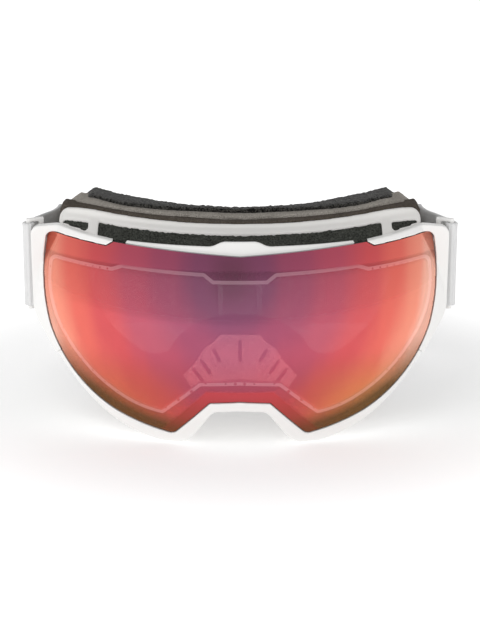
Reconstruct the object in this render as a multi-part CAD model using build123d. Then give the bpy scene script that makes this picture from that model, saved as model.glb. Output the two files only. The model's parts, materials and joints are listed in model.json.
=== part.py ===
from build123d import *
import math
import os

# Ski goggles resting on a table. +X is the right-hand side seen from the front, +Y points back
# towards the wearer and +Z is up. The table is z = 0 and the lens apex is y = 0 while drawing;
# every piece is moved by the same amount at the end, so that the origin is the bottom centre
# of the whole object's box.

# ---- Driving dimensions (mm) -------------------------------------------------------------------

LENS_RADIUS = 115.0        # outside of the spherical outer lens
LENS_CENTRE_Z = 42.5       # height of the sphere's centre
LENS_THICK = 1.4           # outer pane
SPACER_THICK = 2.8         # gasket between the panes
PANE_THICK = 1.2           # inner pane
LENS_GAP = 0.4             # clearance between the lens unit and the frame
PRISM_FRONT_Y = -20.0      # the extruded outlines run from here
PRISM_DEPTH = 130.0        # to this far behind
FAR = 300.0                # past the edge of everything

RIM_PROUD = 0.6            # the rim stands this far in front of the lens surface
SEAT_THICK = 3.0           # frame wall behind the inner pane
CARRIER_TOP_Z = 82.6       # top of the ring behind the outer pane
WING_BACK_Y = 50.0         # rear face of the side wings
WING_FRONT_Y = 45.5        # flat front of their outer, upper part

FLANGE_FRONT_Y = 30.0      # front face of the rear flange on the centre line
FLANGE_RADIUS = 143.0      # its curve about a vertical axis
FLANGE_THICK = 2.5
DECK_FRONT_Y = 12.4        # front edge of the top deck on the centre line
DECK_RADIUS = 103.0
DECK_THICK = 2.2
SIDE_X = 80.5              # half width of the frame's walls, deck and foam
WALL_THICK = 2.2
DECK_MARGIN = 1.0          # the deck's surface is drawn this much too long, then trimmed
DECK_POINTS = 9            # stations along each edge of the deck's surface
DECK_FRONT_Z = (85.7, 2.7)   # height of the deck's front edge: centre, and rise to the side
DECK_REAR_Z = (91.6, 3.0)

SLOT_REAR = (25.5, 122.0)    # rear edge of the long slot: y on the centre line, radius
SLOT_REACH = 62.0
SLOT_FLOOR_Z = 82.0        # the lens seat stops here under the slot
CORNER_VENT_X = (66.7, 79.0)
CORNER_VENT_EDGES = (0.8, 2.6)
LOWER_VENT_X = (38.0, 62.0)
LOWER_VENT_EDGES = (9.0, 3.0)
LOWER_VENT_TOP_Z = 30.0
VENT_FOAM_THICK = 3.0
VENT_FOAM_DROP = 1.0       # the foam's top lies this far under the deck's surface
VENT_FOAM_LAP = 1.2        # the foam reaches this far past its vent, under the deck
UPPER_Z = 60.0             # cuts for the deck and upper walls start at this height
RIM_TOP_Z = 55.0           # the lower rim ends here, inside the wings
RIM_BACKING_TOP_Z = 80.0   # the seat reaches out behind the rim up to here
EDGE_INSET = 0.6           # the seat's outer edge stands in from the rim's

FAN_FRONT = (18.0, 60.0)     # nose fan's front face: y on the centre line, radius
FAN_THICK = 1.5
FAN_SLOT_WIDTH = 1.5
TRIM_THICK = 1.4           # strip behind the outer pane's top edge
TRIM_TOP_Z = 87.2
CARRIER_INSET = 1.6
PANE_LAP = 1.5             # the inner pane reaches this far past its window
SEAT_LAP = 2.0

BASE_BACK = (38.0, 115.0)    # rear face of each foam layer: y on the centre line, radius
MID_BACK = (45.0, 96.0)
FLEECE_BACK = (50.0, 92.0)

PIVOT = (85.5, 57.0)       # outrigger hinge axis, x and y
PIN_RADIUS = 1.2
PIN_FIT = 0.08             # radial clearance in the outrigger's barrel
BARREL_RADIUS = 2.5
BAR = (94.3, 53.0)         # strap bar, x and y
BAR_RADIUS = 1.1
ARM_THICK = 1.5
WEB_THICK = 2.4
POST_SHARES = (0.26, 0.5)  # the post lies between these shares of the way from pin to bar
LUG_THICK = 2.9
LUG_ROOT = 0.6             # the lugs reach this far into the flange
HINGE_GAP = 0.3

STRAP_WIDTH = 38.0
STRAP_THICK = 1.4
STRAP_LOW_Z = 50.5         # lower edge of the strap beside the goggles
STRAP_GAP = 0.3            # between pieces of strap on different bodies
FOLD_FIT = 0.15            # between the strap's fold and its bar
STRAP_X = 84.0             # the strap's side runs
STRAP_BACK_Y = 190.0       # the strap's rear run
STRAP_BEND = 30.0          # radius where the side run turns into the rear run
STRAP_REST_Z = 3.0         # lower edge of the rear run
LEVEL_END_Y = 86.0         # the strap starts to sink here
LOW_START_Y = 176.0        # and is down on the table from here on
BAND_Y = (50.0, 210.0)
STRAIGHT_Y = 88.0          # the side run is straight from here to the bend
GRIP_THICK = 0.5
GRIP_INSET = 6.0           # grip bands stand in from the strap's edges
GRIP_Y = (100.0, 152.0)

BUCKLE_HALF = 18.0         # half length of the closed buckle
BUCKLE_HEIGHT = 44.0
BUCKLE_DEPTH = 9.0
SLIDER_X = (25.0, 36.0)    # inner and outer side of each slider
SLIDER_GAP = 0.4           # between a slider and its webbing
SLIDER_WALL = 1.6
SLIDER_LIP = 2.5           # width of the slider's end bars
SLIDER_BAR = 3.0           # width of its middle bar
SLIDER_ROUND = 0.7
REAR_LAYER = 3.4           # spacing of the two webbing layers at the back
REAR_BAR_X = 14.0          # the buckle's bars
REAR_BAR_RADIUS = 0.9
REAR_TAIL = 10.0           # the folded-back layer ends this far past the slider
BUCKLE_JOIN_X = 3.0        # where the buckle's halves meet
BUCKLE_BLOCK_X = 9.0       # half length of its closed middle
BUCKLE_ROUND = 1.2
RAIL_DEPTH = 6.0
BUCKLE_GAP = 0.3
TONGUE = (9.0, 16.0, 3.0)  # length, height and thickness of the clip's tongue

MAGNET_RADIUS = 1.7
MAGNET_HALF = 1.0          # half thickness
MAGNET_PLACES = [(30.0, 79.8), (68.0, 79.6), (69.6, 30.0), (46.0, 13.6)]

# Radii of the lens unit's layers about the sphere's centre
PANE_BACK_OUTER = LENS_RADIUS - LENS_THICK
PANE_FRONT_INNER = PANE_BACK_OUTER - SPACER_THICK
PANE_BACK_INNER = PANE_FRONT_INNER - PANE_THICK
SEAT_FRONT = PANE_FRONT_INNER - LENS_GAP
SHELF_FRONT = PANE_BACK_INNER - LENS_GAP
SEAT_BACK = SHELF_FRONT - SEAT_THICK

STRAP_TOP_Z = STRAP_LOW_Z + STRAP_WIDTH
REAR_TOP_Z = STRAP_REST_Z + STRAP_WIDTH
REAR_MIDDLE_Y = STRAP_BACK_Y - REAR_LAYER / 2
ARM_LOW_Z = STRAP_LOW_Z - HINGE_GAP - ARM_THICK
ARM_TOP_Z = STRAP_TOP_Z + HINGE_GAP + ARM_THICK
LUG_LOW_Z = 55.6
LUG_TOP_Z = 81.0
BARREL_LOW_Z = LUG_LOW_Z + LUG_THICK + HINGE_GAP
BARREL_TOP_Z = LUG_TOP_Z - LUG_THICK - HINGE_GAP

# ---- Shapes used by several pieces -------------------------------------------------------------


def ball(radius):
    """A ball about the lens sphere's centre."""
    return Pos(0, LENS_RADIUS, LENS_CENTRE_Z) * Sphere(radius)


def shell(outside, inside):
    """The layer between two balls about the lens sphere's centre."""
    return ball(outside) - ball(inside)


def column(front_y, radius):
    """An upright cylinder whose foremost line is at front_y on the centre line."""
    return Pos(0, front_y + radius, 0) * Cylinder(radius, 2 * FAR)


def outline(*edges):
    """A closed face in the XZ plane, from its right-hand edges and their mirror image."""
    right = Curve() + list(edges)
    return make_face(right + mirror(right, about=Plane.YZ))


def prism(face):
    """A face drawn as x and z, extruded from front to back."""
    front = Plane((0, PRISM_FRONT_Y, 0), x_dir=(1, 0, 0), z_dir=(0, -1, 0))
    return extrude(front * face, amount=-PRISM_DEPTH)


def grow(face, amount):
    """An outline moved outwards, or inwards where the amount is negative."""
    return offset(face, amount=amount, kind=Kind.ARC)


def region(x=(-FAR, FAR), y=(-FAR, FAR), z=(-FAR, FAR)):
    """A box between the given limits; where none are given it runs past everything."""
    size = [high - low for low, high in (x, y, z)]
    centre = [(high + low) / 2 for low, high in (x, y, z)]
    return Pos(*centre) * Box(*size)


def both(piece):
    """A piece and its mirror image on the other side."""
    return piece + mirror(piece, about=Plane.YZ)


def arc(a, b, c):
    return ThreePointArc(a, b, c)


LENS_OUTLINE = outline(
    arc((0, 83.6), (27, 85.2), (54.4, 86.5)),
    Line((54.4, 86.5), (57.7, 84.4)),
    Line((57.7, 84.4), (82.6, 85.6)),
    arc((82.6, 85.6), (84.8, 84.8), (85.6, 82.6)),
    arc((85.6, 82.6), (86.7, 65), (83.6, 46.6)),
    arc((83.6, 46.6), (72.4, 27.6), (54, 12.8)),
    arc((54, 12.8), (43, 8.3), (31.2, 5.0)),
    arc((31.2, 5.0), (29.1, 4.9), (27.4, 6.0)),
    Line((27.4, 6.0), (13.1, 20.5)),
    Line((13.1, 20.5), (0, 21.3)),
)

# The stepped window of the inner pane
WINDOW_OUTLINE = outline(
    Line((0, 72.3), (11.7, 72.3)),
    Line((11.7, 72.3), (15.6, 75.2)),
    Line((15.6, 75.2), (50.5, 76.2)),
    Line((50.5, 76.2), (55.1, 74.4)),
    Line((55.1, 74.4), (80.2, 74.7)),
    arc((80.2, 74.7), (82.4, 73.9), (83.2, 71.7)),
    arc((83.2, 71.7), (82.6, 58), (78.2, 46.8)),
    arc((78.2, 46.8), (66.6, 32.0), (50.4, 20.2)),
    arc((50.4, 20.2), (42, 16.6), (34.0, 14.8)),
    Line((34.0, 14.8), (17.4, 29.2)),
    Line((17.4, 29.2), (0, 30.0)),
)

RIM_OUTLINE = outline(
    Line((0, 90.0), (76, 90.0)),
    Line((76, 90.0), (88.6, 88.6)),
    arc((88.6, 88.6), (91.4, 87.4), (92.5, 84.6)),
    Line((92.5, 84.6), (92.3, 53.0)),
    arc((92.3, 53.0), (91.6, 50.2), (90.0, 47.4)),
    Line((90.0, 47.4), (80.4, 34.4)),
    arc((80.4, 34.4), (70.4, 21.8), (58.4, 10.7)),
    arc((58.4, 10.7), (47.6, 4.2), (35.0, 0)),
    Line((35.0, 0), (26.0, 0)),
    arc((26.0, 0), (22.6, 1.8), (18.7, 6.0)),
    Line((18.7, 6.0), (13.4, 13.4)),
    arc((13.4, 13.4), (11.6, 15.4), (9.0, 16.2)),
    Line((9.0, 16.2), (0, 16.7)),
)

# Outer edge of the rear flange and the foam: brow, temples, cheeks and nose arch
FLANGE_OUTLINE = outline(
    arc((0, 92.5), (30, 93.1), (56, 94.8)),
    arc((56, 94.8), (66, 95.6), (74.4, 95.4)),
    arc((74.4, 95.4), (78.8, 93.6), (SIDE_X, 89.6)),
    Line((SIDE_X, 89.6), (SIDE_X, 50.0)),
    arc((SIDE_X, 50.0), (72.0, 28.0), (54.0, 13.5)),
    arc((54.0, 13.5), (42.0, 9.0), (31.0, 9.6)),
    Line((31.0, 9.6), (19.0, 20.0)),
    arc((19.0, 20.0), (10.0, 24.8), (0, 26.0)),
)

# Opening for the eyes in the flange
FACE_OPENING = outline(
    Line((0, 79.0), (62, 80.6)),
    arc((62, 80.6), (68.4, 78.6), (71.0, 72.4)),
    Line((71.0, 72.4), (70.4, 56.0)),
    arc((70.4, 56.0), (62.6, 38.4), (48.0, 27.0)),
    arc((48.0, 27.0), (39.0, 25.0), (31.0, 28.6)),
    arc((31.0, 28.6), (24.0, 38.0), (14.0, 43.6)),
    arc((14.0, 43.6), (7.0, 45.8), (0, 46.0)),
)

# Outside of the frame's side and lower walls
WALL_OUTLINE = outline(
    Line((0, 94.0), (SIDE_X, 94.0)),
    Line((SIDE_X, 94.0), (SIDE_X, 50.0)),
    arc((SIDE_X, 50.0), (69.4, 27.4), (50.8, 12.6)),
    arc((50.8, 12.6), (40.0, 8.4), (30.6, 8.4)),
    Line((30.6, 8.4), (17.6, 21.6)),
    Line((17.6, 21.6), (0, 24.2)),
)

# One side wing with its arm over the lens's top corner; the lens pocket is cut out of it
CAP_OUTLINE = make_face(
    Polyline((74.0, 40.0), (74.0, 78.0), (58.6, 83.0), (53.7, 86.9))
    + Polyline((53.7, 86.9), (70.0, 88.1), (81.0, 89.2), (88.6, 88.6))
    + arc((88.6, 88.6), (91.4, 87.4), (92.5, 84.6))
    + Line((92.5, 84.6), (92.3, 53.0))
    + arc((92.3, 53.0), (91.8, 50.0), (90.4, 47.0))
    + Polyline((90.4, 47.0), (81.4, 33.8), (74.0, 40.0))
)

# The nose fan: its top edge and the slots on its right-hand half, as end points in x and z
FAN_OUTLINE = outline(
    Line((0, 46.4), (8.6, 46.4)),
    Line((8.6, 46.4), (11.4, 42.8)),
    Line((11.4, 42.8), (15.6, 39.6)),
    Line((15.6, 39.6), (19.4, 33.2)),
    Line((19.4, 33.2), (25.0, 26.4)),
    Line((25.0, 26.4), (21.0, 20.6)),
    Line((21.0, 20.6), (0, 24.0)),
)
FAN_SLOTS = [((8.9, 34.6), (11.5, 39.1)), ((13.2, 28.7), (16.7, 33.7)), ((16.3, 24.6), (20.2, 29.6))]
FAN_CENTRE_SLOT = ((0, 35.0), (0, 43.2))

# The strip along the lens's top edge, with its pull tab in the middle
TRIM_OUTLINE = outline(
    Line((0, 89.2), (6.2, 89.2)),
    arc((6.2, 89.2), (8.2, 88.8), (10.0, 88.0)),
    arc((10.0, 88.0), (12.2, 87.3), (14.8, TRIM_TOP_Z)),
    Line((14.8, TRIM_TOP_Z), (48.6, TRIM_TOP_Z)),
    Line((48.6, TRIM_TOP_Z), (51.4, CARRIER_TOP_Z)),
    Line((51.4, CARRIER_TOP_Z), (0, CARRIER_TOP_Z)),
)

LENS_POCKET = grow(LENS_OUTLINE, LENS_GAP)
ABOVE_CARRIER = Pos(0, CARRIER_TOP_Z + FAR / 2) * Rectangle(2 * FAR, FAR)
CARRIER_OUTLINE = grow(LENS_OUTLINE, -CARRIER_INSET) - ABOVE_CARRIER
PANE_OUTLINE = grow(WINDOW_OUTLINE, PANE_LAP)
SEAT_OPENING = grow(WINDOW_OUTLINE, SEAT_LAP)
WALL_INSIDE = grow(WALL_OUTLINE, -WALL_THICK)

# ---- Lens unit: slides off forwards ------------------------------------------------------------


def magnet_posts():
    """Round posts along Y at the magnets' places, on both sides."""
    posts = [Pos(x, 0, z) * Rot(90, 0, 0) * Cylinder(MAGNET_RADIUS, FAR) for x, z in MAGNET_PLACES]
    return both(Part() + posts)


def outer_lens():
    return shell(LENS_RADIUS, PANE_BACK_OUTER) & prism(LENS_OUTLINE)


def inner_lens():
    return shell(PANE_FRONT_INNER, PANE_BACK_INNER) & prism(PANE_OUTLINE)


def lens_spacer():
    """The gasket: its inner edge is the window's edge."""
    ring = prism(PANE_OUTLINE) - prism(WINDOW_OUTLINE)
    return shell(PANE_BACK_OUTER, PANE_FRONT_INNER) & ring


def lens_carrier():
    """The ring bonded behind the outer pane, around the gasket, with pockets for magnets."""
    ring = prism(CARRIER_OUTLINE) - prism(PANE_OUTLINE)
    return (shell(PANE_BACK_OUTER, PANE_FRONT_INNER) & ring) - lens_magnets()


def lens_trim():
    """The strip along the top of the outer pane, with the tab that it is pulled off by."""
    return shell(PANE_BACK_OUTER, PANE_BACK_OUTER - TRIM_THICK) & prism(TRIM_OUTLINE)


def lens_magnets():
    return shell(PANE_BACK_OUTER - MAGNET_HALF, PANE_FRONT_INNER) & magnet_posts()


# ---- Frame -------------------------------------------------------------------------------------


def deck_height(x, edge):
    """The height of one of the deck's long edges at x."""
    centre, rise = edge
    return centre + rise * (x / SIDE_X) ** 2


def flange_rear():
    """The flange's rear face: y on the centre line and radius."""
    return (FLANGE_FRONT_Y + FLANGE_THICK, FLANGE_RADIUS - FLANGE_THICK)


def on_column(x, front_y, radius):
    """The y of an upright cylinder's front at x."""
    return front_y + radius - math.sqrt(radius**2 - x**2)


def deck_surface():
    """The sloping surface between the lens's top edge and the flange."""
    reach = SIDE_X + DECK_MARGIN
    stations = [reach * (2 * i / (DECK_POINTS - 1) - 1) for i in range(DECK_POINTS)]
    front = [
        (x, on_column(x, DECK_FRONT_Y, DECK_RADIUS) - DECK_MARGIN, deck_height(x, DECK_FRONT_Z))
        for x in stations
    ]
    rear = [
        (x, on_column(x, FLANGE_FRONT_Y, FLANGE_RADIUS) + DECK_MARGIN, deck_height(x, DECK_REAR_Z))
        for x in stations
    ]
    return Face.make_surface_from_curves(Edge.make_spline(front), Edge.make_spline(rear))


def below_deck(depth):
    """What lies less than this depth under the deck's surface."""
    return extrude(deck_surface(), amount=depth, dir=(0, 0, -1))


def slot_space(lap):
    """The space of the long slot, open to the front, with the given lap at its ends and rear."""
    rear_y, radius = SLOT_REAR
    reach = SLOT_REACH + lap
    return region(x=(-reach, reach), z=(SLOT_FLOOR_Z, FAR)) - column(rear_y + lap, radius)


def corner_vents():
    """The space of the small vents at the deck's outer ends."""
    front_edge, rear_edge = CORNER_VENT_EDGES
    front = column(DECK_FRONT_Y + front_edge, DECK_RADIUS)
    rear = column(FLANGE_FRONT_Y - rear_edge, FLANGE_RADIUS)
    return both((front - rear) & region(x=CORNER_VENT_X, z=(UPPER_Z, FAR)))


def lower_vents():
    """The space of the two vents through the cheek walls."""
    front_edge, rear_edge = LOWER_VENT_EDGES
    front = column(DECK_FRONT_Y + front_edge, DECK_RADIUS)
    rear = column(FLANGE_FRONT_Y - rear_edge, FLANGE_RADIUS)
    return both((front - rear) & region(x=LOWER_VENT_X, z=(-FAR, LOWER_VENT_TOP_Z)))


def hinge_lugs():
    """The pairs of lugs that hold the outriggers' pins."""
    pin_x, pin_y = PIVOT
    lugs = Part()
    for low, high in ((LUG_LOW_Z, LUG_LOW_Z + LUG_THICK), (LUG_TOP_Z - LUG_THICK, LUG_TOP_Z)):
        arm = region(
            x=(SIDE_X - LUG_ROOT, pin_x), y=(pin_y - BARREL_RADIUS, pin_y + BARREL_RADIUS), z=(low, high)
        )
        eye = Pos(pin_x, pin_y, (low + high) / 2) * Cylinder(BARREL_RADIUS, high - low)
        lugs += arm + eye
    hole = Pos(pin_x, pin_y, 0) * Cylinder(PIN_RADIUS, 2 * FAR)
    foam = column(*flange_rear()) & region(x=(-SIDE_X, SIDE_X))
    return both(lugs - hole - foam)


def seat():
    """The face behind the lens unit: round the inner pane's edge, and out behind rim and wings."""
    layers = shell(SEAT_FRONT, SHELF_FRONT) - prism(SEAT_OPENING)
    layers += shell(SHELF_FRONT, SEAT_BACK) - prism(WALL_INSIDE)
    behind_rim = prism(grow(RIM_OUTLINE, -EDGE_INSET)) & region(z=(-FAR, RIM_BACKING_TOP_Z))
    outside = both(region(x=(SIDE_X, FAR), y=(WING_BACK_Y, FAR)) + wing_plate())
    return (layers & (prism(LENS_OUTLINE) + behind_rim)) - outside - slot_space(0)


def face_frame():
    flange_back = column(*flange_rear())
    flange_front = column(FLANGE_FRONT_Y, FLANGE_RADIUS)
    inner_x = SIDE_X - WALL_THICK
    inside = prism(WALL_INSIDE) + region(x=(-inner_x, inner_x), z=(UPPER_Z, FAR))
    above_deck = extrude(deck_surface(), amount=FAR, dir=(0, 0, 1))
    walls = ((prism(WALL_OUTLINE) - inside) & ball(SEAT_BACK + 1)) - flange_front - above_deck
    flange = ((flange_front - flange_back) & prism(FLANGE_OUTLINE)) - prism(FACE_OPENING)
    deck = (below_deck(DECK_THICK) & column(DECK_FRONT_Y, DECK_RADIUS)) - flange_front
    deck = deck & region(x=(-SIDE_X, SIDE_X)) & prism(FLANGE_OUTLINE)
    deck -= slot_space(0) + corner_vents()
    body = seat() + walls + flange + deck - flange_back - lower_vents()
    return body + hinge_lugs() - frame_magnets()


def frame_magnets():
    return shell(SHELF_FRONT + MAGNET_HALF, SHELF_FRONT - MAGNET_HALF) & magnet_posts()


def lower_rim():
    """The rim below the side wings, with the cheek tips that the goggles rest on."""
    ring = (shell(LENS_RADIUS + RIM_PROUD, SEAT_FRONT) & prism(RIM_OUTLINE)) - prism(LENS_POCKET)
    wings = both(prism(CAP_OUTLINE))
    return (ring & region(z=(-FAR, RIM_TOP_Z))) - wings


def wing_plate():
    """The flat outer part of the right-hand wing."""
    plate = prism(CAP_OUTLINE) & region(x=(SIDE_X, FAR), y=(WING_FRONT_Y, WING_BACK_Y))
    return plate - prism(LENS_POCKET)


def side_cap():
    """The right-hand wing and arm."""
    cap = (shell(LENS_RADIUS + RIM_PROUD, SEAT_FRONT) & prism(CAP_OUTLINE)) - prism(LENS_POCKET)
    cap = (cap & region(x=(0, FAR), y=(-FAR, WING_BACK_Y))) + wing_plate()
    return cap - column(DECK_FRONT_Y, DECK_RADIUS)


def nose_bridge():
    """The flexible fan over the nose, with its radial slots."""
    front_y, radius = FAN_FRONT
    plate = column(front_y, radius) - column(front_y + FAN_THICK, radius - FAN_THICK)
    slots = []
    for (x0, z0), (x1, z1) in FAN_SLOTS + [FAN_CENTRE_SLOT]:
        length = math.dist((x0, z0), (x1, z1))
        angle = math.degrees(math.atan2(z1 - z0, x1 - x0))
        slot = SlotCenterToCenter(length, FAN_SLOT_WIDTH)
        slots.append(Pos((x0 + x1) / 2, (z0 + z1) / 2) * Rot(0, 0, angle) * slot)
    cuts = both(Part() + [prism(slot) for slot in slots])
    return (plate & prism(FAN_OUTLINE) & prism(WALL_INSIDE)) - cuts


# ---- Foam --------------------------------------------------------------------------------------


def foam_layer(front, back, outside, inside):
    """A ring of foam between two upright cylinders, given as y on the centre line and radius."""
    ring = prism(outside) - prism(inside)
    return (column(*front) - column(*back)) & ring


def foam_outline(centre_z, brow, corner, side):
    """The outer edge of a foam layer: its brow line, top corner and side, then cheeks and nose."""
    return outline(
        arc((0, centre_z), (brow[0] / 2, centre_z + (brow[1] - centre_z) * 0.3), brow),
        Line(brow, corner),
        Line(corner, side),
        Line(side, (SIDE_X, 50.0)),
        arc((SIDE_X, 50.0), (72.0, 28.0), (54.0, 13.5)),
        arc((54.0, 13.5), (42.0, 9.0), (31.0, 9.6)),
        Line((31.0, 9.6), (19.0, 20.0)),
        arc((19.0, 20.0), (10.0, 24.8), (0, 26.0)),
    )


BASE_OUTLINE = foam_outline(93.4, (64.0, 96.2), (78.6, 96.4), (SIDE_X, 93.6))
MID_OUTLINE = foam_outline(94.7, (64.0, 98.0), (72.6, 97.4), (SIDE_X, 90.0))
FLEECE_OUTLINE = foam_outline(96.4, (62.0, 99.4), (66.4, 99.6), (SIDE_X, 87.0))
FOAM_OPENING = grow(FACE_OPENING, -1.0)


def foam_base():
    return foam_layer(flange_rear(), BASE_BACK, BASE_OUTLINE, FOAM_OPENING)


def foam_mid():
    return foam_layer(BASE_BACK, MID_BACK, MID_OUTLINE, FOAM_OPENING)


def face_fleece():
    return foam_layer(MID_BACK, FLEECE_BACK, FLEECE_OUTLINE, FOAM_OPENING)


def vent_foam_layer(frame):
    """The space just under the deck that the vent foam fills."""
    layer = below_deck(VENT_FOAM_DROP + VENT_FOAM_THICK) - below_deck(VENT_FOAM_DROP)
    return (layer & column(DECK_FRONT_Y, DECK_RADIUS)) - frame


def vent_foam_top(frame):
    return slot_space(VENT_FOAM_LAP) & vent_foam_layer(frame)


def vent_foam_side(frame):
    low_x = CORNER_VENT_X[0]
    inner_x = SIDE_X - WALL_THICK
    rear = column(FLANGE_FRONT_Y - 1, FLANGE_RADIUS)
    space = region(x=(low_x - VENT_FOAM_LAP, inner_x), z=(UPPER_Z, FAR)) - rear
    return both(space) & vent_foam_layer(frame)


def vent_foam_bottom():
    """Strips inside the cheek walls, over the lower vents."""
    inner = WALL_INSIDE
    layer = prism(inner) - prism(grow(inner, -VENT_FOAM_THICK))
    low_x, high_x = LOWER_VENT_X
    front_edge = LOWER_VENT_EDGES[0] - 1
    front = column(DECK_FRONT_Y + front_edge, DECK_RADIUS)
    rear = column(FLANGE_FRONT_Y, FLANGE_RADIUS)
    limits = region(x=(low_x - 1, high_x + 1), z=(-FAR, LOWER_VENT_TOP_Z + 2))
    space = both((front - rear) & limits)
    return (space & layer & ball(SEAT_BACK)) - prism(WALL_OUTLINE - WALL_INSIDE)


# ---- Outriggers --------------------------------------------------------------------------------


def pivot_pin():
    pin_x, pin_y = PIVOT
    length = LUG_TOP_Z - LUG_LOW_Z
    return Pos(pin_x, pin_y, (LUG_TOP_Z + LUG_LOW_Z) / 2) * Cylinder(PIN_RADIUS, length)


def outrigger():
    """A barrel and web, then a frame of a post, two arms and the bar the strap is folded round."""
    pin_x, pin_y = PIVOT
    bar_x, bar_y = BAR
    height = ARM_TOP_Z - ARM_LOW_Z
    middle = (ARM_TOP_Z + ARM_LOW_Z) / 2
    barrel_height = BARREL_TOP_Z - BARREL_LOW_Z
    barrel = Pos(pin_x, pin_y, BARREL_LOW_Z + barrel_height / 2) * Cylinder(BARREL_RADIUS, barrel_height)
    bar = Pos(bar_x, bar_y, middle) * Cylinder(BAR_RADIUS, height)

    def along(share):
        return (pin_x + (bar_x - pin_x) * share, pin_y + (bar_y - pin_y) * share)

    def upright(start, end, low, tall):
        return extrude(Pos(0, 0, low) * trace(Line(start, end), line_width=WEB_THICK), amount=tall)

    post_start, post_end = along(POST_SHARES[0]), along(POST_SHARES[1])
    web = upright((pin_x, pin_y), post_end, BARREL_LOW_Z, barrel_height)
    post = upright(post_start, post_end, ARM_LOW_Z, height)
    arms = upright(post_start, (bar_x, bar_y), ARM_LOW_Z, ARM_THICK)
    arms += upright(post_start, (bar_x, bar_y), ARM_TOP_Z - ARM_THICK, ARM_THICK)
    bore = Pos(pin_x, pin_y, middle) * Cylinder(PIN_RADIUS + PIN_FIT, height)
    return barrel + bar + web + post + arms - bore


# ---- Strap -------------------------------------------------------------------------------------

OUTER_LEG = [(96.25, 53.0), (95.0, 58.0), (90.6, 68.0)]
INNER_LEG = [(92.35, 53.0), (92.3, 57.0), (91.4, 62.4)]
SIDE_START = (90.4, 68.4)


def strap_loop():
    """The sewn fold round the bar: a ring and its two legs."""
    bar_x, bar_y = BAR
    hole = Pos(bar_x, bar_y) * Circle(BAR_RADIUS + FOLD_FIT)
    ring = Pos(bar_x, bar_y) * Circle(BAR_RADIUS + FOLD_FIT + STRAP_THICK)
    ring -= Pos(bar_x, bar_y + FAR / 2) * Rectangle(FAR, FAR)
    legs = trace(Polyline(*OUTER_LEG), line_width=STRAP_THICK)
    legs += trace(Polyline(*INNER_LEG), line_width=STRAP_THICK)
    plan = ring + legs - hole
    return extrude(Pos(0, 0, STRAP_LOW_Z) * plan, amount=STRAP_WIDTH)


def side_band(shrink):
    """The strap as seen from the side: level beside the goggles, then sinking to the table."""
    low_start = STRAP_LOW_Z + shrink
    low_end = STRAP_REST_Z + shrink
    width = STRAP_WIDTH - 2 * shrink
    middle = ((LEVEL_END_Y + LOW_START_Y) / 2, (low_start + low_end) / 2)
    first_y, last_y = BAND_Y
    lower = [
        Line((first_y, low_start), (LEVEL_END_Y, low_start)),
        TangentArc((LEVEL_END_Y, low_start), middle, tangent=(1, 0)),
        TangentArc((LOW_START_Y, low_end), middle, tangent=(-1, 0)),
        Line((LOW_START_Y, low_end), (last_y, low_end)),
    ]
    upper = [Pos(0, width) * edge for edge in lower]
    ends = [
        Line((first_y, low_start), (first_y, low_start + width)),
        Line((last_y, low_end), (last_y, low_end + width)),
    ]
    side = Plane((-FAR, 0, 0), x_dir=(0, 1, 0), z_dir=(1, 0, 0))
    return extrude(side * make_face(Curve() + lower + upper + ends), amount=2 * FAR)


def strap_path():
    """The strap's line in plan, from the sewn fold to the straight rear run."""
    bend_y = STRAP_BACK_Y - STRAP_BEND
    bend_x = STRAP_X - STRAP_BEND
    offset_45 = STRAP_BEND * math.cos(math.pi / 4)
    return Curve() + [
        Spline(SIDE_START, (STRAP_X, STRAIGHT_Y), tangents=[(-0.42, 0.9), (0, 1)]),
        Line((STRAP_X, STRAIGHT_Y), (STRAP_X, bend_y)),
        arc((STRAP_X, bend_y), (bend_x + offset_45, bend_y + offset_45), (bend_x, STRAP_BACK_Y)),
    ]


def strap_side():
    """The right-hand run of the strap from the fold to the rear."""
    plan = trace(strap_path(), line_width=STRAP_THICK)
    return extrude(Pos(0, 0, -FAR) * plan, amount=2 * FAR) & side_band(0)


def grip():
    """A thin silicone band on the strap's inner side."""
    outer_x = STRAP_X - STRAP_THICK / 2
    return region(x=(outer_x - GRIP_THICK, outer_x), y=GRIP_Y) & side_band(GRIP_INSET)


def strap_rear():
    """The doubled webbing behind the head, folded round the buckle's bar."""
    inner_y = STRAP_BACK_Y - REAR_LAYER
    half = STRAP_THICK / 2
    height = (STRAP_REST_Z, REAR_TOP_Z)
    outer_end = STRAP_X - STRAP_BEND - STRAP_GAP
    inner_end = SLIDER_X[1] + REAR_TAIL
    outer = region(x=(REAR_BAR_X, outer_end), y=(STRAP_BACK_Y - half, STRAP_BACK_Y + half), z=height)
    inner = region(x=(REAR_BAR_X, inner_end), y=(inner_y - half, inner_y + half), z=height)
    fold = Cylinder(REAR_LAYER / 2 + half, 2 * FAR) - Cylinder(REAR_LAYER / 2 - half, 2 * FAR)
    fold = Pos(REAR_BAR_X, REAR_MIDDLE_Y, 0) * fold
    return outer + inner + (fold & region(x=(-FAR, REAR_BAR_X), z=height))


# ---- Rear buckle and sliders -------------------------------------------------------------------


def buckle_end():
    """The right-hand rails and bar that the webbing is folded round."""
    rail = STRAP_REST_Z - BUCKLE_GAP
    length = (BUCKLE_BLOCK_X, BUCKLE_HALF)
    depth = (REAR_MIDDLE_Y - RAIL_DEPTH / 2, REAR_MIDDLE_Y + RAIL_DEPTH / 2)
    rails = region(x=length, y=depth, z=(0, rail))
    rails += region(x=length, y=depth, z=(BUCKLE_HEIGHT - rail, BUCKLE_HEIGHT))
    bar = Pos(REAR_BAR_X, REAR_MIDDLE_Y, BUCKLE_HEIGHT / 2) * Cylinder(REAR_BAR_RADIUS, BUCKLE_HEIGHT)
    return rails + bar


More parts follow.
